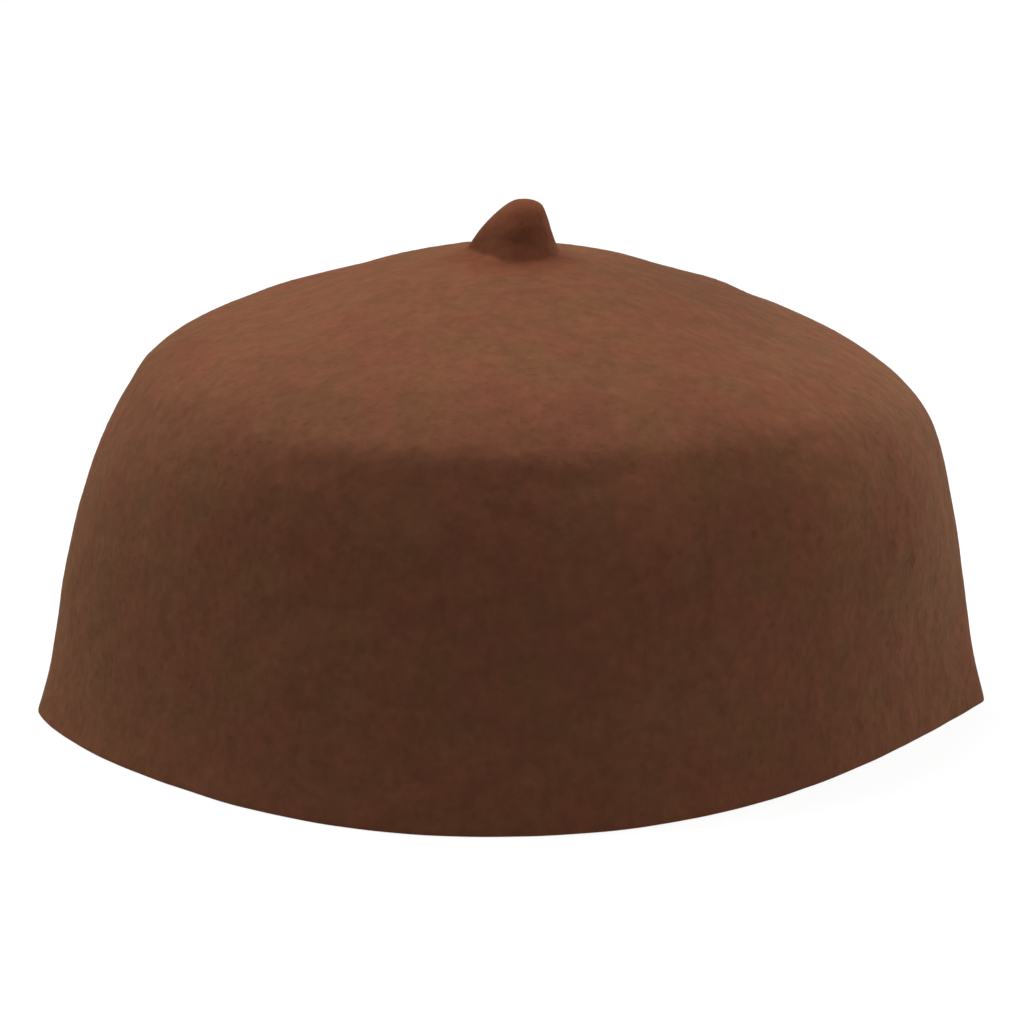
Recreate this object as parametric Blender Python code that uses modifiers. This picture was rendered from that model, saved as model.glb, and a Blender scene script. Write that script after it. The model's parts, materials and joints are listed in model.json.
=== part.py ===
"""A brimless cap of thick wool felt, blocked in one piece, with a short stem drawn out of the middle of its crown.

Run it with: blender --background --python part.py

Metres, +Z up. X runs from one side crease to the other and the front faces -Y. The origin is in the middle of the
cap, on the plane that its cut edge rests on.
"""

import math
from collections import namedtuple

import bmesh
import bpy
import numpy as np

# Driving sizes of the cap. The crown's height is that of its middle, under the stem.
RIM_WIDTH = 0.200
RIM_DEPTH = 0.176
CROWN_HEIGHT = 0.0982
FELT_THICKNESS = 0.0025
CUT_EDGE_ROUNDING = 0.0006

# The crown sags at both side creases
CREASE_DROOP = 0.006

# How far the side creases draw the cut edge out to a point: 0 is an ellipse, and 1 has straight sides up to the
# point. The softness rounds the points, and is a share of half the rim's depth.
LEFT_CREASE_POINT = 0.45
RIGHT_CREASE_POINT = 1.12
CREASE_SOFTNESS = 0.17

# Driving sizes of the stem, a blunt stub. The offset is of its foot, and the lean takes its top to the right. The
# crown turns up into the stem within the crease's width.
STEM_HEIGHT = 0.0119
STEM_WIDTH = 0.0205
STEM_DEPTH = 0.0165
STEM_OFFSET = -0.0008
STEM_LEAN = 0.0031
STEM_CREASE = 0.0012

# Points around each ring of the mesh, and steps in each rounded corner of the cut edge
AROUND = 72
CORNER_STEPS = 2

# The felt's outer face, from the cut edge to the middle of the crown. "up" is a share of the crown's height, "left"
# and "right" of half the rim's width, "front" and "back" of half its depth, "point" of the crease points, and "sag"
# of the droop. "steps" is the number of rings from this section to the next.
CapSection = namedtuple("CapSection", "place up left right front back point sag steps")
CAP_SECTIONS = (
    CapSection("cut edge", 0.000, 1.000, 1.000, 1.000, 1.000, 1.00, 0.00, 1),
    CapSection("flare", 0.040, 0.985, 0.990, 0.990, 0.990, 0.95, 0.00, 1),
    CapSection("foot of the wall", 0.100, 0.970, 0.975, 0.975, 0.975, 0.90, 0.00, 2),
    CapSection("low wall", 0.280, 0.945, 0.950, 0.950, 0.950, 0.65, 0.10, 3),
    CapSection("high wall", 0.500, 0.900, 0.915, 0.925, 0.925, 0.35, 0.40, 2),
    CapSection("foot of the shoulder", 0.655, 0.850, 0.880, 0.900, 0.900, 0.15, 0.70, 3),
    CapSection("low shoulder", 0.755, 0.800, 0.820, 0.850, 0.850, 0.05, 0.90, 3),
    CapSection("high shoulder", 0.825, 0.760, 0.725, 0.755, 0.755, 0.00, 1.00, 3),
    CapSection("outer crown", 0.880, 0.665, 0.590, 0.610, 0.610, 0.00, 0.95, 3),
    CapSection("middle crown", 0.925, 0.480, 0.475, 0.450, 0.450, 0.00, 0.80, 2),
    CapSection("inner crown", 0.957, 0.325, 0.330, 0.330, 0.330, 0.00, 0.36, 3),
)

# The stem's outer face, from its foot on the crown to its top. "up" is a share of the stem's height, "lean" of its
# lean, "wide" of its width and "deep" of its depth.
StemSection = namedtuple("StemSection", "place up lean wide deep steps")
STEM_SECTIONS = (
    StemSection("foot", 0.00, 0.00, 1.00, 1.00, 1),
    StemSection("fillet", 0.08, 0.12, 0.92, 0.93, 1),
    StemSection("ankle", 0.27, 0.20, 0.86, 0.84, 1),
    StemSection("waist", 0.46, 0.39, 0.73, 0.75, 1),
    StemSection("neck", 0.62, 0.61, 0.62, 0.65, 1),
    StemSection("shoulder", 0.79, 0.85, 0.47, 0.50, 1),
    StemSection("top edge", 0.90, 1.00, 0.35, 0.38, 1),
    StemSection("top", 0.97, 1.00, 0.21, 0.22, 1),
)

# Soft hollows of the wall, and swellings where the depth is negative. "turn" is in degrees from +X, so -90 is the
# front, and "across" is the half width in degrees. "up" and "tall", the half height, are shares of the crown's
# height, and "depth" is a share of the felt's thickness.
Dent = namedtuple("Dent", "place turn up across tall depth")
DENTS = (
    Dent("full left front", -116, 0.00, 28, 0.55, -0.85),
    Dent("swelling right of the front", -66, 0.54, 13, 0.12, -0.35),
    Dent("hollow under the front shoulder", -98, 0.66, 12, 0.09, 0.25),
    Dent("hollow on the left front", -145, 0.60, 18, 0.20, 0.20),
    Dent("swelling on the right", -24, 0.42, 14, 0.16, -0.20),
    Dent("hollow on the back", 72, 0.50, 20, 0.16, 0.30),
    Dent("swelling on the left back", 138, 0.56, 18, 0.14, -0.30),
)

# Brown wool felt
FELT_COLOUR = (0.105, 0.050, 0.030, 1.0)
FELT_ROUGHNESS = 0.95

# One ring round the cap, in metres, apart from its two crease points
Ring = namedtuple("Ring", "centre left right front back height left_point right_point droop")


def clear_scene():
    for obj in list(bpy.data.objects):
        bpy.data.objects.remove(obj)


def cap_ring(section):
    return Ring(
        centre=0.0,
        left=section.left * RIM_WIDTH / 2,
        right=section.right * RIM_WIDTH / 2,
        front=section.front * RIM_DEPTH / 2,
        back=section.back * RIM_DEPTH / 2,
        height=section.up * CROWN_HEIGHT,
        left_point=section.point * LEFT_CREASE_POINT,
        right_point=section.point * RIGHT_CREASE_POINT,
        droop=section.sag * CREASE_DROOP,
    )


def oval_ring(centre, reach, depth, height):
    """A ring without crease points. One with no reach or depth is a point in the middle of the crown or the stem."""
    return Ring(centre, reach, reach, depth, depth, height, left_point=0.0, right_point=0.0, droop=0.0)


def stem_ring(section, foot):
    return oval_ring(
        centre=STEM_OFFSET + section.lean * STEM_LEAN,
        reach=section.wide * STEM_WIDTH / 2,
        depth=section.deep * STEM_DEPTH / 2,
        height=foot + section.up * STEM_HEIGHT,
    )


def mean_reach(ring):
    return (ring.left + ring.right + ring.front + ring.back) / 4


def crown_height(ring, inner_crown):
    """How high the crown is under a ring near its middle, where it rises evenly from its innermost section."""
    share = mean_reach(ring) / mean_reach(inner_crown)
    return CROWN_HEIGHT + (inner_crown.height - CROWN_HEIGHT) * share


def smooth_rings(rings, steps):
    """Rings along a smooth curve through the given ones, which stay where they are. The curve ends level."""
    rows = np.array(rings)
    distances = [math.hypot(b.height - a.height, mean_reach(b) - mean_reach(a)) for a, b in zip(rings, rings[1:])]
    chords = [(high - low) / distance for low, high, distance in zip(rows, rows[1:], distances)]
    slopes = [chords[0]]
    for before, after, chord_before, chord_after in zip(distances, distances[1:], chords, chords[1:]):
        slopes.append((chord_before * after + chord_after * before) / (before + after))
    slopes.append(np.array(Ring(*chords[-1])._replace(height=0.0)))
    smooth = []
    for i, count in enumerate(steps):
        for step in range(count):
            t = step / count
            start = rows[i] * (2 * t**3 - 3 * t**2 + 1) + slopes[i] * distances[i] * (t**3 - 2 * t**2 + t)
            end = rows[i + 1] * (3 * t**2 - 2 * t**3) + slopes[i + 1] * distances[i] * (t**3 - t**2)
            smooth.append(Ring(*(start + end)))
    smooth.append(rings[-1])
    return smooth


def dented_by(turn, up):
    """How far the wall is pushed in at a place, which is negative where it swells."""
    depth = 0.0
    for dent in DENTS:
        away = (math.degrees(turn) - dent.turn + 180) % 360 - 180
        reach = (away / dent.across) ** 2 + ((up - dent.up) / dent.tall) ** 2
        depth += dent.depth * FELT_THICKNESS * math.exp(-reach)
    return depth


def blend(low, high, side):
    """From the low value at side -1 to the high one at side 1."""
    return (low + high) / 2 + (high - low) / 2 * side


def place_on(ring, turn):
    """Where a ring passes at one turn round the cap."""
    across, along = math.cos(turn), math.sin(turn)
    half_width = blend(ring.left, ring.right, across)
    half_depth = blend(ring.front, ring.back, along)
    point = blend(ring.left_point, ring.right_point, across)
    drawn = along * math.sqrt((along**2 + CREASE_SOFTNESS**2) / (1 + CREASE_SOFTNESS**2)) ** point
    dent = dented_by(turn, ring.height / CROWN_HEIGHT)
    return (
        ring.centre + (half_width - dent) * across,
        half_depth * drawn - dent * along,
        ring.height - ring.droop * across**2,
    )


def half_sphere(ring_count):
    """The upper half of a UV sphere. Each vertex knows its ring, counted from the open edge, and its turn."""
    bm = bmesh.new()
    bmesh.ops.create_uvsphere(bm, u_segments=AROUND, v_segments=2 * ring_count, radius=1)
    bmesh.ops.delete(bm, geom=[vert for vert in bm.verts if vert.co.z < -0.5 / ring_count], context="VERTS")
    ring_layer = bm.verts.layers.int.new("ring")
    turn_layer = bm.verts.layers.float.new("turn")
    for vert in bm.verts:
        latitude = math.asin(min(vert.co.z, 1.0))
        vert[ring_layer] = round(latitude / (math.pi / 2) * ring_count)
        vert[turn_layer] = math.atan2(vert.co.y, vert.co.x)
    return bm


def felt_surface(rings):
    """The open outer face of the felt without its stem."""
    bm = half_sphere(len(rings) - 1)
    ring_layer = bm.verts.layers.int["ring"]
    turn_layer = bm.verts.layers.float["turn"]
    for vert in bm.verts:
        vert.co = place_on(rings[vert[ring_layer]], vert[turn_layer])
    return bm


def thickened(obj):
    """The object's mesh with the felt's thickness, which goes inwards from the outer face."""
    solidify = obj.modifiers.new("Felt thickness", "SOLIDIFY")
    solidify.thickness = FELT_THICKNESS
    solidify.offset = -1
    solidify.use_even_offset = True
    solidify.use_quality_normals = True
    evaluated = obj.evaluated_get(bpy.context.evaluated_depsgraph_get())
    mesh = bpy.data.meshes.new_from_object(evaluated)
    obj.modifiers.clear()
    return mesh


def trim_cut_edge(bm):
    """Levels the cut edge on the plane that the cap rests on, and rounds its two corners."""
    ring_layer = bm.verts.layers.int["ring"]
    for vert in bm.verts:
        if vert[ring_layer] == 0:
            vert.co.z = 0
    bm.normal_update()
    rim_faces = [face for face in bm.faces if all(vert[ring_layer] == 0 for vert in face.verts)]
    corners = {edge for face in rim_faces for edge in face.edges if any(f not in rim_faces for f in edge.link_faces)}
    bmesh.ops.bevel(
        bm,
        geom=list(corners),
        offset=CUT_EDGE_ROUNDING,
        segments=CORNER_STEPS,
        profile=0.5,
        affect="EDGES",
        material=-1,
    )


def draw_out_stem(bm, rings, first_ring):
    """Draws the middle of the outer face, from one ring inwards, up into the stem."""
    ring_layer = bm.verts.layers.int["ring"]
    turn_layer = bm.verts.layers.float["turn"]
    bm.normal_update()
    for vert in bm.verts:
        # Only the outer face looks up
        if vert[ring_layer] >= first_ring and vert.normal.z > 0:
            vert.co = place_on(rings[vert[ring_layer]], vert[turn_layer])


def felt_material():
    material = bpy.data.materials.new("brown_wool_felt")
    material.use_nodes = True
    shader = material.node_tree.nodes["Principled BSDF"]
    shader.inputs["Base Color"].default_value = FELT_COLOUR
    shader.inputs["Roughness"].default_value = FELT_ROUGHNESS
    shader.inputs["Metallic"].default_value = 0.0
    return material


def make_felt_cap(collection):
    cap = [cap_ring(section) for section in CAP_SECTIONS]
    crease = oval_ring(STEM_OFFSET, STEM_WIDTH / 2 + STEM_CREASE, STEM_DEPTH / 2 + STEM_CREASE, CROWN_HEIGHT)
    crease = crease._replace(height=crown_height(crease, cap[-1]))
    foot = crown_height(stem_ring(STEM_SECTIONS[0], 0.0), cap[-1])
    stem = [stem_ring(section, foot) for section in STEM_SECTIONS]
    top = oval_ring(STEM_OFFSET + STEM_LEAN, 0.0, 0.0, foot + STEM_HEIGHT)
    cap_steps = [section.steps for section in CAP_SECTIONS]
    stem_steps = [1] + [section.steps for section in STEM_SECTIONS]
    inner_crown_ring = sum(cap_steps[:-1])

    # The plain crown has as many rings as the one with the stem, so that each of its points has a place on the stem
    middle = oval_ring(0.0, 0.0, 0.0, CROWN_HEIGHT)
    plain = smooth_rings(cap + [middle], cap_steps[:-1] + [cap_steps[-1] + sum(stem_steps)])
    with_stem = smooth_rings(cap + [crease] + stem + [top], cap_steps + stem_steps)

    surface = felt_surface(plain)
    mesh = bpy.data.meshes.new("felt_surface")
    surface.to_mesh(mesh)
    surface.free()
    obj = bpy.data.objects.new("felt_cap", mesh)
    collection.objects.link(obj)

    bm = bmesh.new()
    bm.from_mesh(thickened(obj))
    trim_cut_edge(bm)
    draw_out_stem(bm, with_stem, inner_crown_ring + 1)
    felt = bpy.data.meshes.new("felt_cap")
    bm.to_mesh(felt)
    bm.free()
    felt.materials.append(felt_material())
    felt.shade_smooth()
    obj.data = felt
    return obj


def main():
    clear_scene()
    collection = bpy.data.collections.new("songkok")
    bpy.context.scene.collection.children.link(collection)
    make_felt_cap(collection)


if __name__ == "__main__":
    main()
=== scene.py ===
# %% [markdown]
# A felt cap blocked in one piece
#
# The real cap is one piece of thick wool felt. It was soaked, pulled over a wooden block and dried there,
# and the spare felt in the middle of its crown was drawn out into a short stem. It could be sculpted by
# hand from a sphere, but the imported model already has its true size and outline. So this lesson keeps
# that form and adds what a plain solid leaves out: the small unevenness of felt, its matted fibres and
# their nap, and the light of a studio.

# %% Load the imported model
import json
import math

import bmesh
import bpy
import numpy as np
from mathutils import Matrix, Vector, noise

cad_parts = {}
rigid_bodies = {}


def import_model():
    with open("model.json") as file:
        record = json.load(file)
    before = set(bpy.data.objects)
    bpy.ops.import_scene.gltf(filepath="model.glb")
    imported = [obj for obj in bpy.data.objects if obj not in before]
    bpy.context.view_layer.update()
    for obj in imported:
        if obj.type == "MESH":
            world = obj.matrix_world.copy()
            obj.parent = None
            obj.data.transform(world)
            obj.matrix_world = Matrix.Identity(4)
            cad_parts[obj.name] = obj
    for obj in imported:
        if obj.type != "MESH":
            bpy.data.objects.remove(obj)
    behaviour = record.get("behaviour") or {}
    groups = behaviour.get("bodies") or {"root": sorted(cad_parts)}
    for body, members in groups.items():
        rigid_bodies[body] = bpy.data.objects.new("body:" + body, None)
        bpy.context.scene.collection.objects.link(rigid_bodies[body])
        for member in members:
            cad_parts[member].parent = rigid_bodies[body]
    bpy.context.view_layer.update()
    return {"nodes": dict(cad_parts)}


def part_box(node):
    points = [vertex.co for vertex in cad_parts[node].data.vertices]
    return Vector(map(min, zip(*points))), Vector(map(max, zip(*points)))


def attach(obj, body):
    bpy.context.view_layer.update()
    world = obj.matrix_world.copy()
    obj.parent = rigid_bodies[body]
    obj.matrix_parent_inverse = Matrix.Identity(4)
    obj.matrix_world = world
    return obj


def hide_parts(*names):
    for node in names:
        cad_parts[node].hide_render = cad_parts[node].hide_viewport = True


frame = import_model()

MM = 0.001

low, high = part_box("felt_cap")
cap_size = high - low
print("the packed cap measures", [round(side / MM, 1) for side in cap_size], "mm")

# %% [markdown]
# Two small helpers
#
# A dyer's card shows a colour as a screen does, but Blender's shaders add up light. Each colour could be
# picked in the editor, which turns it to light by itself. A script is easier to read with the card's
# values, so one function turns them. A second function adds a node, sets it up and links it, so that a
# material reads as a list of layers.

# %% Turn a screen colour to a linear one, and add a node


def linear(hex_colour):
    """Linear RGBA of an sRGB colour such as "#483022"."""
    channels = [int(hex_colour[i : i + 2], 16) / 255 for i in (1, 3, 5)]
    return (*[c / 12.92 if c <= 0.04045 else ((c + 0.055) / 1.055) ** 2.4 for c in channels], 1.0)


def add_node(tree, kind, inputs=None, **settings):
    """Adds a node. An input's value is a constant, or a socket to link from."""
    node = tree.nodes.new(kind)
    for name, value in settings.items():
        setattr(node, name, value)
    for name, value in (inputs or {}).items():
        if isinstance(value, bpy.types.NodeSocket):
            tree.links.new(value, node.inputs[name])
        else:
            node.inputs[name].default_value = value
    return node


print("a brown of #483022 is", [round(c, 3) for c in linear("#483022")[:3]], "as light")

# %% [markdown]
# The felt as a smooth surface
#
# Blocked felt has no facets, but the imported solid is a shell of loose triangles. Smooth shading would
# hide them, but not at the outline. So a copy is merged, and its triangles are paired back to quads,
# because a Subdivision Surface rounds quads evenly and leaves ripples on triangles. Two levels give faces
# of 1 to 2 mm, fine enough for soft dents. Finer grain than that is left to the fibres and to the
# material.

# %% Copy the solid and pair its triangles
MERGE_DISTANCE = 0.02 * MM
PAIRING_ANGLE = math.radians(40)

cage = bmesh.new()
cage.from_mesh(frame["nodes"]["felt_cap"].data)
bmesh.ops.remove_doubles(cage, verts=cage.verts, dist=MERGE_DISTANCE)
loose = len(cage.faces)
bmesh.ops.join_triangles(
    cage, faces=cage.faces, angle_face_threshold=PAIRING_ANGLE, angle_shape_threshold=PAIRING_ANGLE
)
quads = sum(len(face.verts) == 4 for face in cage.faces)
print(loose, "triangles became", quads, "quads and", len(cage.faces) - quads, "other faces")

# %% Subdivide it
SMOOTHING_LEVELS = 2


def new_object(name, mesh):
    piece = bpy.data.objects.new(name, mesh)
    bpy.context.scene.collection.objects.link(piece)
    return piece


def freeze(piece):
    """Swaps a piece's mesh for the one that its modifiers make."""
    evaluated = piece.evaluated_get(bpy.context.evaluated_depsgraph_get())
    mesh = bpy.data.meshes.new_from_object(evaluated)
    piece.modifiers.clear()
    piece.data = mesh


felt_mesh = bpy.data.meshes.new("felt")
cage.to_mesh(felt_mesh)
cage.free()
felt = new_object("blocked_felt_cap", felt_mesh)
rounding = felt.modifiers.new("Smooth felt", "SUBSURF")
rounding.levels = SMOOTHING_LEVELS
rounding.render_levels = SMOOTHING_LEVELS
freeze(felt)
print("the smooth felt has", len(felt.data.vertices), "points")

# %% [markdown]
# The unevenness that drying leaves
#
# Felt shrinks a little unevenly as it dries. A Displace modifier could bend it, but it pushes each point
# along its own normal, so it would thicken and thin the wall. Here a soft random wave moves both faces of
# the wall the same way, so the wall hardly changes its thickness. The cut edge moves sideways only,
# because it was trimmed level.

# %% Read the points, move them, and tell which way is outwards
LEVEL_UP_TO = 30 * MM


def points_of(mesh):
    places = np.empty(len(mesh.vertices) * 3)
    mesh.vertices.foreach_get("co", places)
    return places.reshape(-1, 3)


def move_points(mesh, places):
    mesh.vertices.foreach_set("co", places.ravel())
    mesh.update()


def outward(places):
    """The way out of the hollow at each place: level near the cut edge, and up on the crown."""
    away = places / np.array([cap_size.x / 2, cap_size.y / 2, cap_size.z]) ** 2
    away[:, 2] = np.maximum(places[:, 2] - LEVEL_UP_TO, 0) / (cap_size.z - LEVEL_UP_TO) ** 2
    return away / np.linalg.norm(away, axis=1)[:, None]


print("below", round(LEVEL_UP_TO / MM), "mm the felt moves sideways only")

# %% Move the felt by a soft wave
# Each wave's length and height
WAVES = ((28 * MM, 0.30 * MM), (9 * MM, 0.16 * MM), (4.5 * MM, 0.07 * MM))


def wave(place):
    return sum(height * noise.noise(place / length) for length, height in WAVES)


places = points_of(felt.data)
heights = np.array([wave(Vector(place)) for place in places])
move_points(felt.data, places + outward(places) * heights[:, None])
print("the wave moves the felt by", round(float(np.abs(heights).max()) / MM, 2), "mm at most")

# %% [markdown]
# Fuller and flatter places
#
# Hands pull the wet felt over the block, so no two caps are quite alike. This one is fuller at its right
# front and beside its stem, and flatter on its right shoulder. It could be sculpted with a soft brush,
# but a short table is easier to read and to change. A negative height is a flatter place.

# %% Swell the felt where it is fuller
# Each place's name, and its centre, reach and height in millimetres
SWELLINGS = (
    ("crown left of the stem", (-20, 20, 93), 15, 0.6),
    ("wall right of the front", (24, -78, 61), 11, 0.6),
    ("right front shoulder", (60, -54, 56), 15, 1.5),
    ("right wall", (80, -32, 47), 14, 0.9),
    ("crown behind the stem, left", (-9, 15, 96.2), 4.5, 0.6),
    ("crown behind the stem, right", (10, 13, 96.5), 5, 0.6),
    ("back of the left crown", (-45, 28, 85.5), 6, 0.5),
    ("back of the right crown", (45, 25, 85.5), 7, 0.7),
    ("right shoulder", (72, 5, 82), 12, -0.4),
    ("rim left of the front", (-32, -82, 4), 30, 1.4),
)

places = points_of(felt.data)
away = outward(places)
for name, centre, reach, height in SWELLINGS:
    distance = np.linalg.norm(places - np.array(centre) * MM, axis=1)
    places += away * (height * MM * np.exp(-((distance / (reach * MM)) ** 2)))[:, None]
    print(name, "moves", int((distance < reach * MM).sum()), "points")
move_points(felt.data, places)

# %% [markdown]
# The block's edge
#
# The top of the block ends in a worn edge, and in front the felt was pulled tight over it. It prints
# through as a low soft ridge, above which the crown turns to the light and below which the wall falls
# away from it. A bevel would be too sharp for felt, so the ridge is one soft rise at the edge's height,
# which fades out at the sides.

# %% Raise the felt over the block's edge
EDGE_HEIGHT = 72.5 * MM
EDGE_RISE = 0.40 * MM
EDGE_SOFTNESS = 3.2 * MM
EDGE_REACH = math.radians(50)

places = points_of(felt.data)
from_front = np.arctan2(places[:, 0] / cap_size.x, -places[:, 1] / cap_size.y)
from_edge = ((places[:, 2] - EDGE_HEIGHT) / EDGE_SOFTNESS) ** 2
rise = EDGE_RISE * np.exp(-from_edge - (from_front / EDGE_REACH) ** 4)
move_points(felt.data, places + outward(places) * rise[:, None])
print("the block's edge lifts", int((rise > EDGE_RISE / 2).sum()), "points by more than half its height")

# %% [markdown]
# The stem's foot
#
# The stem was drawn out of the crown's own felt, so the crown rises to it and the stem flares at its
# foot. A stem of its own, joined by a Boolean, would leave a seam in the felt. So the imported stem's
# points are moved instead, by how far each is from the line of the foot, out on the crown or up the stem.

# %% Find the points of the stem and of the crown round it
CROWN_TOP = 98.2 * MM
CEILING_BELOW = 1.3 * MM
FOOT_CENTRE = np.array([-0.8, 0.0]) * MM
FOOT_REACH = np.array([10.3, 8.3]) * MM
# The crown is changed out to this many times the foot's reach
NEAR_STEM = 3


def on_outer_face(mesh):
    """True for each point of the cap's outer face. All points above the hollow's ceiling are on it."""
    normals = np.empty(len(mesh.vertices) * 3)
    mesh.vertices.foreach_get("normal", normals)
    places = points_of(mesh)
    turned_out = (normals.reshape(-1, 3) * outward(places)).sum(axis=1) > 0
    return turned_out | (places[:, 2] > CROWN_TOP - CEILING_BELOW)


places = points_of(felt.data)
by_stem = np.linalg.norm((places[:, :2] - FOOT_CENTRE) / FOOT_REACH, axis=1) < NEAR_STEM
by_stem &= on_outer_face(felt.data)
near = places[by_stem]
from_centre = near[:, :2] - FOOT_CENTRE
way_out = from_centre / np.linalg.norm(from_centre, axis=1)[:, None]
spread = np.linalg.norm(from_centre / FOOT_REACH, axis=1)
on_crown = spread > 1
up_stem = np.maximum(near[:, 2] - CROWN_TOP, 0)
print(int(on_crown.sum()), "points are on the crown by the stem,", int((~on_crown).sum()), "on the stem")

# %% Flare the foot, and raise the crown to it
FLARE = 0.3 * MM
FLARE_RISE = 0.5 * MM
REACH_ON_CROWN = 3.0 * MM
REACH_ON_STEM = 1.4 * MM

from_foot = np.where(on_crown, (spread - 1) * FOOT_REACH[1] / REACH_ON_CROWN, up_stem / REACH_ON_STEM)
at_foot = np.exp(-from_foot)
near[:, :2] += way_out * (FLARE * at_foot)[:, None]
near[:, 2] += FLARE_RISE * at_foot
print("the flare moves", int((at_foot > 0.5).sum()), "points by more than half of its width")

# %% [markdown]
# The stem's front
#
# The fingers that drew the stem out left its foot a little forward, and its front full and steep. A
# Lattice could push it forward, but its back would come along. So only what faces the front is moved
# here: the foot by one distance, which shrinks up the stem, and the stem above it by another, which is
# nothing at the foot and most shortly below the tip.

# %% Bring the foot and the front forward
FOOT_FORWARD = 1.6 * MM
FRONT_FULLER = 1.4 * MM
# The front is fullest where this power of the share is a half, 9 mm above the crown
FULLNESS_CURVE = 2.5
# A height on the stem is a share of the way up to this point, 1.3 mm above the middle of its tip
ABOVE_TIP = np.array([2.4, 0.0, 110.1]) * MM

towards_front = np.maximum(-way_out[:, 1], 0)
up_share = np.minimum(up_stem / (ABOVE_TIP[2] - CROWN_TOP), 1)
forward = FOOT_FORWARD * (1 - up_share) * np.where(on_crown, at_foot, 1)
forward += FRONT_FULLER * np.sin(math.pi * up_share**FULLNESS_CURVE)
near[:, 1] -= forward * towards_front
print("the front comes forward by", round(float((forward * towards_front).max()) / MM, 1), "mm at most")

# %% [markdown]
# The stem's pressed side
#
# Wet fingers pinched the stem, which left a flatter side at its front left, with a soft ridge beside it,
# and a square tip. A cut with Bisect would leave a sharp edge. Instead the ridge's foot and the way that
# the flat side faces give its plane, and what stands out beyond the plane is pressed level with it. The
# crown beside it follows, less and less with the distance.

# %% Press the flat side in
FLAT_SIDE = np.array([-0.85, -0.48, 0.22])
RIDGE_FOOT = np.array([-3.4, -8.0, 98.2]) * MM
RIDGE_SOFTNESS = 1.6 * MM
CROWN_FOLLOWS = 0.35
CROWN_SLOPE = 0.13


def stands_out(places):
    """How far each place is beyond the flat side's plane, eased over the ridge."""
    beyond = (places - RIDGE_FOOT) @ FLAT_SIDE
    return (beyond + np.hypot(beyond, RIDGE_SOFTNESS)) / 2


foot = near.copy()
foot[on_crown, :2] = FOOT_CENTRE + from_centre[on_crown] / spread[on_crown, None]
foot[on_crown, 2] = CROWN_TOP
level = np.linalg.norm(FLAT_SIDE[:2])
press = stands_out(foot) / level * np.exp(-((np.maximum(spread - 1, 0) / CROWN_FOLLOWS) ** 2))
near[:, :2] -= FLAT_SIDE[:2] / level * press[:, None]
near[on_crown, 2] += CROWN_SLOPE * press[on_crown]
print("the flat side is pressed in by", round(float(press.max()) / MM, 1), "mm at most")

# %% Square the tip
TIP_DEPTH = 2.5 * MM
TIP_WIDER = 0.18

in_tip = np.exp(-(((near[:, 2] - ABOVE_TIP[2]) / TIP_DEPTH) ** 2))
near[:, 0] += TIP_WIDER * in_tip * np.maximum(near[:, 0] - ABOVE_TIP[0], 0)
places[by_stem] = near
move_points(felt.data, places)
print("the stem's tip is", round(float(near[:, 2].max()) / MM, 1), "mm above the table")

# %% [markdown]
# A soft line round the foot
#
# Felt can't hold a sharp inner corner, but pressing leaves one where the flat side meets the crown. A
# Smooth modifier would need a vertex group, or it would soften the whole cap. The bmesh operator takes
# just the points beside the foot's line, so a few rounds of it ease the corner and leave the rest as it
# is.

# %% Ease the foot of the stem
EASED_TO = 3.0 * MM
EASING_ROUNDS = 10
# The corner lies just inside the foot's reach, at this share of it
FOOT_LINE = 0.95


def by_foot_line(vert):
    share = np.linalg.norm((np.array(vert.co.xy) - FOOT_CENTRE) / FOOT_REACH)
    return abs(share - FOOT_LINE) * FOOT_REACH[1] < EASED_TO and vert.co.z < CROWN_TOP + EASED_TO


soft_foot = bmesh.new()
soft_foot.from_mesh(felt.data)
outer_face = on_outer_face(felt.data)
foot_ring = [vert for vert, outer in zip(soft_foot.verts, outer_face) if outer and by_foot_line(vert)]
for turn in range(EASING_ROUNDS):
    bmesh.ops.smooth_vert(
        soft_foot, verts=foot_ring, factor=0.5, use_axis_x=True, use_axis_y=True, use_axis_z=True
    )
soft_foot.to_mesh(felt.data)
soft_foot.free()
print(len(foot_ring), "points of the foot are eased")

# %% [markdown]
# The stem's darker tone, and painted light and shade
#
# The stem and the crown round its foot are darkened and mixed toward a redder brown. On the stem this is
# partly its own darker tone and partly painted shade; on the crown round it, it is a painted shadow of the
# stem. Low on the wall, along the cut edge, the felt is darkened the same way, as painted shade by the
# table. Broad patches elsewhere are painted lighter or darker, as painted light and shade. All of it could
# be painted by hand as vertex colours. Worked out from a few sizes and a short table they are easy to
# change, and they are stored on each point of the mesh, where the materials read them.

# %% Work out where the stem's tone, its painted shadow and the painted shade by the table go
STEM_MIDDLE = np.array([0, -2]) * MM
# The stem's darker tone and its painted shadow on the crown: full up to the first distance from its middle,
# gone at the second
TONE_AND_SHADOW_FROM_STEM = (7 * MM, 18 * MM)
# Painted shade low on the wall, by the table: full at the cut edge, gone 24 mm up, at this share of the
# stem's
PAINTED_SHADE_HEIGHTS = (0 * MM, 24 * MM)
TABLE_SHADE_SHARE = 0.22


def fades(values, start, end):
    """1 up to the start, 0 from the end on, and a smooth step between them."""
    share = np.clip((values - start) / (end - start), 0, 1)
    return 1 - share**2 * (3 - 2 * share)


places = points_of(felt.data)
# The stem gets its darker tone, and the crown round it a painted shadow of the stem
stem_tone_and_shadow = fades(np.linalg.norm(places[:, :2] - STEM_MIDDLE, axis=1), *TONE_AND_SHADOW_FROM_STEM)
# Painted shade low on the wall, along the cut edge, where the table would shade it
painted_shade_by_table = TABLE_SHADE_SHARE * fades(places[:, 2], *PAINTED_SHADE_HEIGHTS)
handled = np.maximum(stem_tone_and_shadow, painted_shade_by_table)
print(int((handled > 0.5).sum()), "points are handled much, and", int((handled > 0).sum()), "at all")
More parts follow.
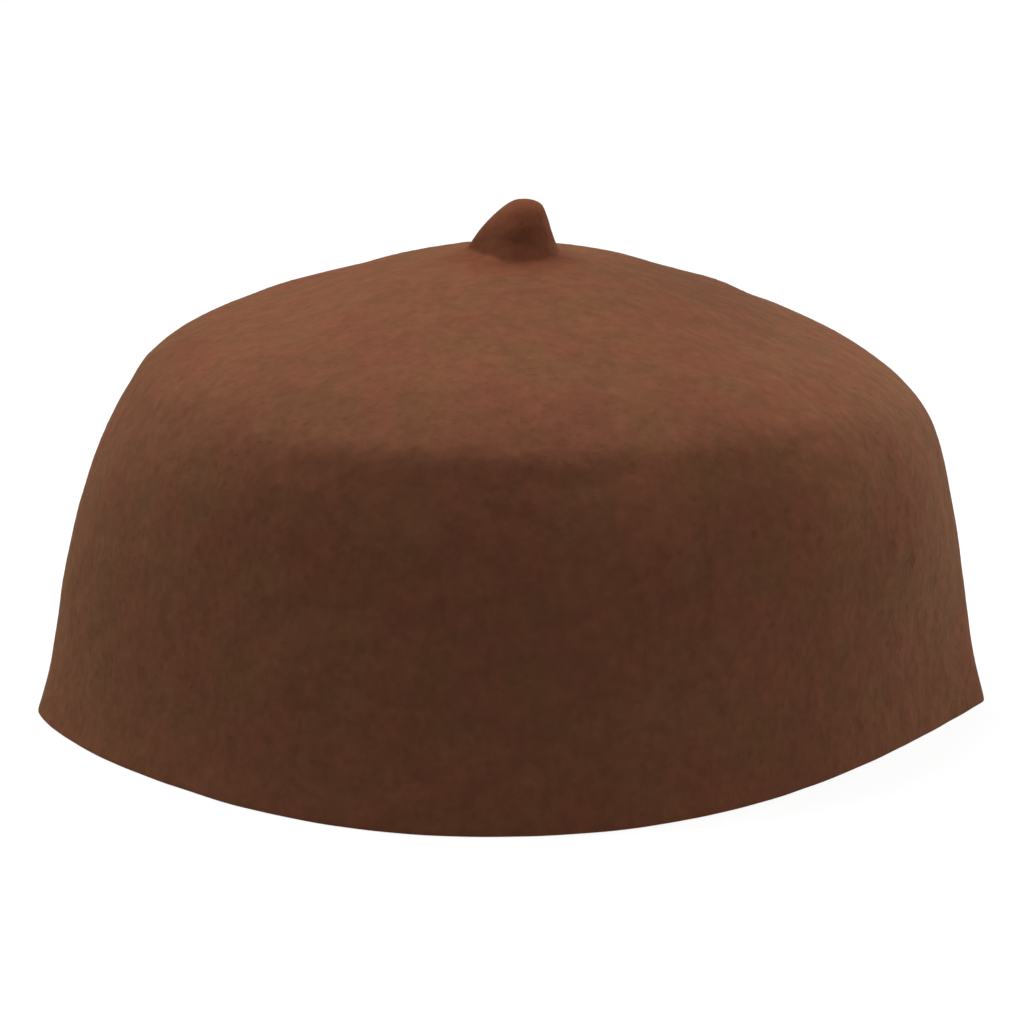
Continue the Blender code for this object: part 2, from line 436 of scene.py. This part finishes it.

# %% Add patches of painted light and shade, and store both on the mesh
# Each patch's name, its centre and reach in millimetres, and by which share the felt is painted lighter
# there
PAINTED_LIGHT_AND_SHADE_PATCHES = (
    ("right of the crown", (39, 4, 89), 26, -0.24),
    ("in front of the stem", (0, -20, 95.5), 9, -0.08),
    ("left end of the crown", (-70, -6, 78), 12, -0.12),
    ("left front of the crown", (-44, -48, 81), 16, -0.08),
    ("left wall", (-85, -24, 43), 18, -0.12),
    ("right front shoulder", (62, -55, 63), 14, 0.20),
    ("right side", (80, -30, 60), 12, 0.12),
    ("wall right of the front", (21, -77, 63), 13, 0.15),
    ("foot of the right wall", (56, -60, 5), 14, -0.12),
)
# The stem's tone, its painted shadow and the painted shade by the table darken the felt by this share
TONE_AND_SHADE_DARKER = 0.20

# One value per point: the stem's darker tone and the painted shade, with the patches of painted light and
# shade
dye = 1 - TONE_AND_SHADE_DARKER * handled
for name, centre, reach, change in PAINTED_LIGHT_AND_SHADE_PATCHES:
    distance = np.linalg.norm(places - np.array(centre) * MM, axis=1)
    dye += change * np.exp(-((distance / (reach * MM)) ** 2))
for name, values in (("handled", handled), ("dye", dye)):
    stored = felt.data.attributes.new(name, "FLOAT", "POINT")
    stored.data.foreach_set("value", values.astype(np.float32))
    print(name, "runs from", round(float(values.min()), 2), "to", round(float(values.max()), 2))

# %% [markdown]
# Brown wool felt: its patterns
#
# Fulled wool felt has no weave. Its fibres lie in every direction and are matted into a dense sheet, so
# its face is a field of soft lumps with finer fibres curled over them. A picture of felt would stretch on
# the round crown and show a seam. Noise in the object's own space does neither, and each of its sizes can
# be set in millimetres.

# %% Start the felt's material and lay out its patterns
# Tufts of carded wool mix in patches about 12 mm wide, and fulling leaves lumps of about 6 mm
MOTTLE = 12 * MM
LUMP = 6 * MM
# The real grain is about 0.5 mm wide, too fine to show where a pixel is 0.2 mm, so it is drawn wider
GRAIN = 2.2 * MM

# Wool felt, matted by fulling: the eye sees a soft broken brown and no gloss
felt_material = bpy.data.materials.new("fulled_brown_wool_felt")
felt_material.use_nodes = True
felt_tree = felt_material.node_tree
where = add_node(felt_tree, "ShaderNodeTexCoord").outputs["Object"]
mottle, lumps, grain = (
    add_node(
        felt_tree, "ShaderNodeTexNoise", {"Vector": where, "Scale": 1 / size, "Detail": detail}
    ).outputs["Fac"]
    for size, detail in ((MOTTLE, 1.0), (LUMP, 2.0), (GRAIN, 2.0))
)
print("the felt's patterns are", [round(size / MM, 1) for size in (MOTTLE, LUMP, GRAIN)], "mm wide")

# %% Draw curled fibres as thin lines
# A real fibre is 0.03 mm thick, too fine to show, so these lines are 0.15 mm wide and turn every 1.1 mm
FIBRE_BEND = 1.1 * MM
FIBRE_CURL = 1.2
# A line is drawn where the noise is as near as this to its middle value
FIBRE_SHARE = 0.035
NOISE_MIDDLE = 0.5
# Two sets of lines cross each other, because the second is turned and moved
FIBRE_TURNS = ((0, 0, 0), (1, 2, 3))


def fibre_lines(turn):
    """Curled lines, 1 on a fibre and 0 beside it, along which a soft noise has its middle value."""
    turned = add_node(
        felt_tree, "ShaderNodeMapping", {"Vector": where, "Rotation": turn, "Location": turn}
    ).outputs["Vector"]
    field = add_node(
        felt_tree,
        "ShaderNodeTexNoise",
        {"Vector": turned, "Scale": 1 / FIBRE_BEND, "Detail": 1.0, "Distortion": FIBRE_CURL},
    ).outputs["Fac"]
    away = add_node(
        felt_tree, "ShaderNodeMath", {0: field, 1: NOISE_MIDDLE}, operation="SUBTRACT"
    ).outputs[0]
    either_side = add_node(felt_tree, "ShaderNodeMath", {0: away}, operation="ABSOLUTE").outputs[0]
    line = add_node(
        felt_tree,
        "ShaderNodeMapRange",
        {"Value": either_side, "From Min": 0.0, "From Max": FIBRE_SHARE, "To Min": 1.0, "To Max": 0.0},
        interpolation_type="SMOOTHSTEP",
    )
    return line.outputs["Result"]


fibres = add_node(
    felt_tree,
    "ShaderNodeMath",
    {count: fibre_lines(turn) for count, turn in enumerate(FIBRE_TURNS)},
    operation="MAXIMUM",
).outputs[0]
print(len(FIBRE_TURNS), "sets of fibre lines cross each other")

# %% [markdown]
# Brown wool felt: its colour
#
# Each lock of wool takes the dye its own way, so the felt is a heather of an olive brown and a red one.
# One brown that only gets darker and lighter would be simpler, but it looks like clay. So the mottle
# mixes two hues, and the lumps, the grain and the fibres change their strength. The values stored on the
# mesh give the stem's darker tone, the painted shadow round it, the painted shade low on the wall and the
# patches of painted light and shade.

# %% Mix the browns
OLIVE_BROWN = "#5a3a28"
RED_BROWN = "#5c3728"
# A redder brown for the stem, mixed in also where its painted shadow and the painted shade by the table
# fall
REDDER_BROWN = "#613726"
# Between these values of the mottle one brown turns to the other
HUE_RANGE = {"From Min": 0.35, "From Max": 0.65}

hue = add_node(
    felt_tree, "ShaderNodeMapRange", {"Value": mottle, **HUE_RANGE, "To Min": 0.0, "To Max": 1.0}
).outputs["Result"]
# A Mix node's two colours are its inputs 6 and 7, and its mixed colour is output 2
dyed = add_node(
    felt_tree,
    "ShaderNodeMix",
    {"Factor": hue, 6: linear(OLIVE_BROWN), 7: linear(RED_BROWN)},
    data_type="RGBA",
).outputs[2]
# The share of the stem's tone and painted shade mixes in the redder brown
tone_and_shade_share = add_node(felt_tree, "ShaderNodeAttribute", attribute_name="handled").outputs["Fac"]
brown = add_node(
    felt_tree, "ShaderNodeMix", {"Factor": tone_and_shade_share, 6: dyed, 7: linear(REDDER_BROWN)}, data_type="RGBA"
).outputs[2]
print("the browns are", OLIVE_BROWN, "and", RED_BROWN, "and, where hands have been,", REDDER_BROWN)

# %% Make the brown stronger and weaker
# Noise stays mostly between these two values
NOISE_RANGE = {"From Min": 0.3, "From Max": 0.7}
HEATHER = {"To Min": 0.92, "To Max": 1.08}
CLOUDS = {"To Min": 0.93, "To Max": 1.07}
FIBRE_LIGHTER = 0.03

heather = add_node(
    felt_tree, "ShaderNodeMapRange", {"Value": grain, **NOISE_RANGE, **HEATHER}
).outputs["Result"]
clouds = add_node(
    felt_tree, "ShaderNodeMapRange", {"Value": lumps, **NOISE_RANGE, **CLOUDS}
).outputs["Result"]
lighter = add_node(
    felt_tree, "ShaderNodeMath", {0: fibres, 1: FIBRE_LIGHTER, 2: heather}, operation="MULTIPLY_ADD"
).outputs[0]
# The stem's tone and the painted light and shade, stored on each point
tone_and_light_here = add_node(felt_tree, "ShaderNodeAttribute", attribute_name="dye").outputs["Fac"]
cloudy = add_node(felt_tree, "ShaderNodeMath", {0: clouds, 1: tone_and_light_here}, operation="MULTIPLY").outputs[0]
strength = add_node(felt_tree, "ShaderNodeMath", {0: lighter, 1: cloudy}, operation="MULTIPLY").outputs[0]
felt_colour = add_node(
    felt_tree, "ShaderNodeVectorMath", {0: brown, 1: strength}, operation="MULTIPLY"
).outputs["Vector"]
print("the grain changes the brown by up to", round((HEATHER["To Max"] - 1) * 100), "percent")

# %% [markdown]
# Brown wool felt: its relief
#
# The lumps, the grain and the fibres stand out of the felt's face by fractions of a millimetre. A mesh
# would need millions of faces to carry them, so three Bump nodes, one on top of another, turn them to
# light and shade. Felt has no gloss, so its roughness is high and its specular level is next to nothing.
# The sheen stands for the shortest nap, which catches light where the felt is seen edge on.

# %% Raise the lumps, the grain and the fibres
LUMP_RELIEF = 0.50 * MM
GRAIN_RELIEF = 0.06 * MM
FIBRE_RELIEF = 0.006 * MM

relief = {}
for pattern, height in ((lumps, LUMP_RELIEF), (grain, GRAIN_RELIEF), (fibres, FIBRE_RELIEF)):
    bump = add_node(
        felt_tree, "ShaderNodeBump", {"Height": pattern, "Strength": 1.0, "Distance": height, **relief}
    )
    relief = {"Normal": bump.outputs["Normal"]}
print("the lumps stand out by up to", LUMP_RELIEF / MM, "mm")

# %% Finish the felt and dress the cap in it
shader = felt_tree.nodes["Principled BSDF"]
felt_tree.links.new(felt_colour, shader.inputs["Base Color"])
felt_tree.links.new(relief["Normal"], shader.inputs["Normal"])
shader.inputs["Roughness"].default_value = 0.95
shader.inputs["Specular IOR Level"].default_value = 0.03
shader.inputs["Sheen Weight"].default_value = 0.03
shader.inputs["Sheen Roughness"].default_value = 0.5
shader.inputs["Sheen Tint"].default_value = linear("#ffe9a0")

felt.data.materials.clear()
felt.data.materials.append(felt_material)
felt.data.shade_smooth()
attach(felt, "root")
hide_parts("felt_cap")
print("the felt's material has", len(felt_tree.nodes), "nodes")

# %% [markdown]
# The nap
#
# Fine ends of wool stand out of the matted face and curl back on it. Hair curves would be lighter to
# draw, but an export keeps only a mesh. So each fibre is a thin flat tube with closed ends, bent so that
# both ends dive into the felt. It has three sides and lies with an edge on top, so that its two upper
# sides catch the light. Real wool is about 0.03 mm thick, and these are a little thicker, at 0.035 mm.

# %% Shape a few curled fibres
FIBRE_THICKNESS = 0.035 * MM
# Each shape's length, lift of the middle and bend to the side, in millimetres
FIBRE_SHAPES = ((1.2, 0.04, 0.20), (1.6, 0.05, -0.35), (1.9, 0.035, 0.50), (1.4, 0.08, 0.10))
FIBRE_BENDS = 3
FIBRE_FLATNESS = 0.5
# From its middle to its ends a fibre comes down by this many times its lift, so its ends are below the face
ENDS_DIVE = 1.6
# The bend to the side leans to one end, less if this is larger
BEND_LEAN = 3


def curled_fibre(name, length, lift, sideways):
    """A flat tube along X with an edge on top, lifted in its middle and bent to the side."""
    fibre = bmesh.new()
    along_x = Matrix.Rotation(math.pi / 2, 4, "X") @ Matrix.Rotation(math.pi / 2, 4, "Y")
    bmesh.ops.create_cone(
        fibre,
        cap_ends=True,
        segments=3,
        radius1=FIBRE_THICKNESS / 2,
        radius2=FIBRE_THICKNESS / 2,
        depth=length,
        matrix=Matrix.Scale(FIBRE_FLATNESS, 4, (0, 0, 1)) @ along_x,
    )
    for bend in range(1, FIBRE_BENDS):
        bmesh.ops.bisect_plane(
            fibre,
            geom=fibre.verts[:] + fibre.edges[:] + fibre.faces[:],
            plane_co=((bend / FIBRE_BENDS - 0.5) * length, 0, 0),
            plane_no=(1, 0, 0),
        )
    for vert in fibre.verts:
        along = 2 * vert.co.x / length
        vert.co.z += lift * (1 - ENDS_DIVE * along**2)
        vert.co.y += sideways * (along**2 - along / BEND_LEAN)
    mesh = bpy.data.meshes.new(name)
    fibre.to_mesh(mesh)
    fibre.free()
    return bpy.data.objects.new(name, mesh)


fibre_shapes = bpy.data.collections.new("fibre_shapes")
for count, (length, lift, sideways) in enumerate(FIBRE_SHAPES):
    fibre_shapes.objects.link(curled_fibre(f"fibre_{count}", length * MM, lift * MM, sideways * MM))

# %% [markdown]
# Where the nap grows
#
# Only the outer face was brushed, so the nap grows there, down to just above the cut edge. A vertex group
# could mark it as well. A stored value is made just as those of the stem's tone and the painted light and
# shade were, and Geometry Nodes reads it by its name.

# %% Mark the outer face
NAP_FROM = 2.5 * MM

faces_out = on_outer_face(felt.data) & (points_of(felt.data)[:, 2] > NAP_FROM)
outside = felt.data.attributes.new("outside", "FLOAT", "POINT")
outside.data.foreach_set("value", faces_out.astype(np.float32))
print(int(faces_out.sum()), "points are outside")

# %% [markdown]
# Scattering the fibres
#
# Loose fibres lie at random and every way. A particle system could scatter them, but Geometry Nodes shows
# each step: points on the marked face, one of the shapes on each in a random size, a random turn about
# the face's own normal, and then all of them made real, so that they are one mesh.

# %% Plant a fibre on each of many points
# In each layer, about 11 to a square centimetre
FIBRES_PER_SQUARE_METRE = 7000 / 0.066
FIBRE_SIZES = (0.7, 1.3)


def planted_fibres(tree, face, seed):
    """One of the fibre shapes on each of many points of the marked face."""
    outer_face = add_node(tree, "GeometryNodeInputNamedAttribute", {"Name": "outside"}, data_type="FLOAT")
    density = add_node(
        tree,
        "ShaderNodeMath",
        {0: outer_face.outputs["Attribute"], 1: FIBRES_PER_SQUARE_METRE},
        operation="MULTIPLY",
    ).outputs[0]
    roots = add_node(
        tree, "GeometryNodeDistributePointsOnFaces", {"Mesh": face, "Density": density, "Seed": seed}
    )
    shapes = add_node(
        tree, "GeometryNodeCollectionInfo", {"Collection": fibre_shapes, "Separate Children": True}
    )
    smallest, largest = FIBRE_SIZES
    size = add_node(
        tree, "FunctionNodeRandomValue", {2: smallest, 3: largest, "Seed": seed}, data_type="FLOAT"
    )
    planted = add_node(
        tree,
        "GeometryNodeInstanceOnPoints",
        {
            "Points": roots.outputs["Points"],
            "Instance": shapes.outputs["Instances"],
            "Pick Instance": True,
            "Rotation": roots.outputs["Rotation"],
            "Scale": size.outputs[1],
        },
    )
    return planted.outputs["Instances"]


print("a layer has", round(FIBRES_PER_SQUARE_METRE * (10 * MM) ** 2), "fibres to a square centimetre")

# %% Turn each fibre its own way and make them real
# The turns are drawn with seeds of their own, so that they don't follow the sizes
TURNS_FROM_SEED = 10


def nap_tree(seed):
    """Geometry nodes that swap the felt for a layer of its nap."""
    tree = bpy.data.node_groups.new(f"nap_{seed}", "GeometryNodeTree")
    tree.interface.new_socket("Geometry", in_out="INPUT", socket_type="NodeSocketGeometry")
    tree.interface.new_socket("Geometry", in_out="OUTPUT", socket_type="NodeSocketGeometry")
    face = add_node(tree, "NodeGroupInput").outputs["Geometry"]
    spin = add_node(
        tree,
        "FunctionNodeRandomValue",
        {0: (0, 0, 0), 1: (0, 0, 2 * math.pi), "Seed": seed + TURNS_FROM_SEED},
        data_type="FLOAT_VECTOR",
    )
    turned = add_node(
        tree,
        "GeometryNodeRotateInstances",
        {"Instances": planted_fibres(tree, face, seed), "Rotation": spin.outputs[0], "Local Space": True},
    )
    real = add_node(tree, "GeometryNodeRealizeInstances", {"Geometry": turned.outputs["Instances"]})
    add_node(tree, "NodeGroupOutput", {"Geometry": real.outputs["Geometry"]})
    return tree


print("the turns are drawn from seed", TURNS_FROM_SEED, "on")

# %% [markdown]
# Loose wool
#
# A single fibre is as brown as the felt, or a little paler: the paler browns are painted light, standing in
# for the light that passes through a fibre. One material for all of them would be simpler, but makes the
# nap a flat veil. So there are three layers, each with a brown of its own, and the grain and the stored
# stem tone and painted light and shade change it much as they change the felt under it.

# %% Make a material of loose wool
LOOSE_HEATHER = {"To Min": 0.93, "To Max": 1.07}


def nap_material(name, colour):
    """Loose wool: matt, and a little paler than the felt, as painted light for the light that passes
    through it.
    """
    material = bpy.data.materials.new(name)
    material.use_nodes = True
    tree = material.node_tree
    shader = tree.nodes["Principled BSDF"]
    where = add_node(tree, "ShaderNodeTexCoord").outputs["Object"]
    grain = add_node(tree, "ShaderNodeTexNoise", {"Vector": where, "Scale": 1 / GRAIN, "Detail": 0.0})
    heather = add_node(
        tree, "ShaderNodeMapRange", {"Value": grain.outputs["Fac"], **NOISE_RANGE, **LOOSE_HEATHER}
    ).outputs["Result"]
    # The stored painted light and shade lighten and darken the nap as they do the felt
    tone_and_light_here = add_node(tree, "ShaderNodeAttribute", attribute_name="dye").outputs["Fac"]
    strength = add_node(tree, "ShaderNodeMath", {0: heather, 1: tone_and_light_here}, operation="MULTIPLY").outputs[0]
    dyed = add_node(
        tree, "ShaderNodeVectorMath", {0: linear(colour)[:3], 1: strength}, operation="MULTIPLY"
    ).outputs["Vector"]
    tree.links.new(dyed, shader.inputs["Base Color"])
    shader.inputs["Roughness"].default_value = 0.8
    shader.inputs["Specular IOR Level"].default_value = 0.05
    return material


print("the loose wool changes by up to", round((LOOSE_HEATHER["To Max"] - 1) * 100), "percent")

# %% Grow three layers of nap
# Browns paler than the felt's are painted light for the light that passes through the fibres
NAP_LAYERS = (("nap_brown", "#5f3e2c"), ("nap_tan", "#674531"), ("nap_umber", "#5a3a2a"))

for seed, (name, colour) in enumerate(NAP_LAYERS):
    nap = new_object(name, felt.data.copy())
    scatter = nap.modifiers.new("Scatter fibres", "NODES")
    scatter.node_group = nap_tree(seed)
    freeze(nap)
    nap.data.materials.clear()
    nap.data.materials.append(nap_material(f"loose_wool_{name}", colour))
    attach(nap, "root")
    nap.data.calc_loop_triangles()
    print(name, "has", len(nap.data.loop_triangles), "triangles")
for shape in list(fibre_shapes.objects):
    bpy.data.objects.remove(shape)
bpy.data.collections.remove(fibre_shapes)

# %% [markdown]
# The table
#
# The cap stands on a pale table that stays white all round and takes almost no shadow. A photographer
# lights such a table from below. Here it glows instead, which needs no lamp under it, and it gives back
# little of the light that falls on it, so that a shadow hardly shows.

# %% Lay the table
FLOOR_RADIUS = 8.0

floor_shape = bmesh.new()
bmesh.ops.create_circle(floor_shape, cap_ends=True, segments=64, radius=FLOOR_RADIUS)
floor_mesh = bpy.data.meshes.new("pale_table")
floor_shape.to_mesh(floor_mesh)
floor_shape.free()
floor = new_object("pale_table", floor_mesh)

# A matt board lit from behind, which the eye sees as an even white
table_white = bpy.data.materials.new("pale_matt_table")
table_white.use_nodes = True
table_shader = table_white.node_tree.nodes["Principled BSDF"]
table_shader.inputs["Base Color"].default_value = linear("#595959")
table_shader.inputs["Roughness"].default_value = 0.9
table_shader.inputs["Emission Color"].default_value = linear("#ffffff")
table_shader.inputs["Emission Strength"].default_value = 0.86
floor_mesh.materials.append(table_white)
print("the table is", 2 * FLOOR_RADIUS, "m across")

# %% [markdown]
# The lights
#
# Two large soft lights hang over the cap, and four smaller and warmer ones stand behind it at its sides,
# which gives its edges their soft shine. Its front is lit mostly by the table. A picture of a studio
# wrapped round the world could do the same, but lights with a place and a size are easier to change one
# by one.

# %% Set the lights
# Each light's name, its place and size in metres, its power in watts, and its colour
LIGHTS = (
    ("overhead_left", (-0.45, 0.2, 1.2), 0.8, 23.6, "#ffffff"),
    ("overhead_right", (0.45, -0.1, 1.2), 0.8, 13.3, "#ffffff"),
    ("left", (-1.2, 0.5, 0.6), 0.7, 2.9, "#fff1ec"),
    ("left_back", (-1.2, 1.1, 0.4), 0.7, 4.8, "#fff1ec"),
    ("right", (1.2, 0.4, 0.5), 0.7, 5.3, "#fff1ec"),
    ("right_back", (1.2, 1.2, 0.12), 0.25, 14.6, "#fff1ec"),
)
LIT_POINT = Vector((0, 0, 0.05))

for name, place, size, watts, colour in LIGHTS:
    lamp = bpy.data.lights.new(name, "AREA")
    lamp.size = size
    lamp.energy = watts
    lamp.color = linear(colour)[:3]
    light = bpy.data.objects.new(name, lamp)
    light.location = place
    light.rotation_euler = (LIT_POINT - light.location).to_track_quat("-Z", "Y").to_euler()
    bpy.context.scene.collection.objects.link(light)
print(len(LIGHTS), "lights give", round(sum(watts for _, _, _, watts, _ in LIGHTS), 1), "W together")

# %% [markdown]
# The air of the studio
#
# Behind the table the eye sees white, as in a studio with a white wall. A plain white world would also
# light the cap from all round and take its form away. So a Light Path node lets only the camera see it.

# %% Make the air white to the eye alone
world = bpy.data.worlds.new("studio_air")
world.use_nodes = True
background = world.node_tree.nodes["Background"]
seen_directly = add_node(world.node_tree, "ShaderNodeLightPath").outputs["Is Camera Ray"]
background.inputs["Color"].default_value = linear("#ffffff")
world.node_tree.links.new(seen_directly, background.inputs["Strength"])
bpy.context.scene.world = world
bpy.context.scene.view_settings.view_transform = "Standard"
print("colours are shown by the", bpy.context.scene.view_settings.view_transform, "view transform")

# %% [markdown]
# The camera
#
# The eye is 1.1 m away, a little left of the middle and about 15 degrees above the table, with a long
# lens. It could be placed by hand in the editor. Worked out from a distance and two angles, it stays
# aimed at the cap when one of them is changed.

# %% Place the camera
EYE_DISTANCE = 1.1
EYE_TURN = math.radians(-1.863)
EYE_RISE = math.radians(14.668)
AIM = Vector((-0.0001, 0.0, 0.0422))
LENS = 185.1

towards_eye = Vector(
    (math.sin(EYE_TURN) * math.cos(EYE_RISE), -math.cos(EYE_TURN) * math.cos(EYE_RISE), math.sin(EYE_RISE))
)
lens = bpy.data.cameras.new("camera")
lens.lens = LENS
lens.sensor_width = 36
camera = bpy.data.objects.new("camera", lens)
camera.location = AIM + towards_eye * EYE_DISTANCE
camera.rotation_euler = (-towards_eye).to_track_quat("-Z", "Y").to_euler()
bpy.context.scene.collection.objects.link(camera)
bpy.context.scene.camera = camera
print("the eye is at", [round(side, 3) for side in camera.location], "m")
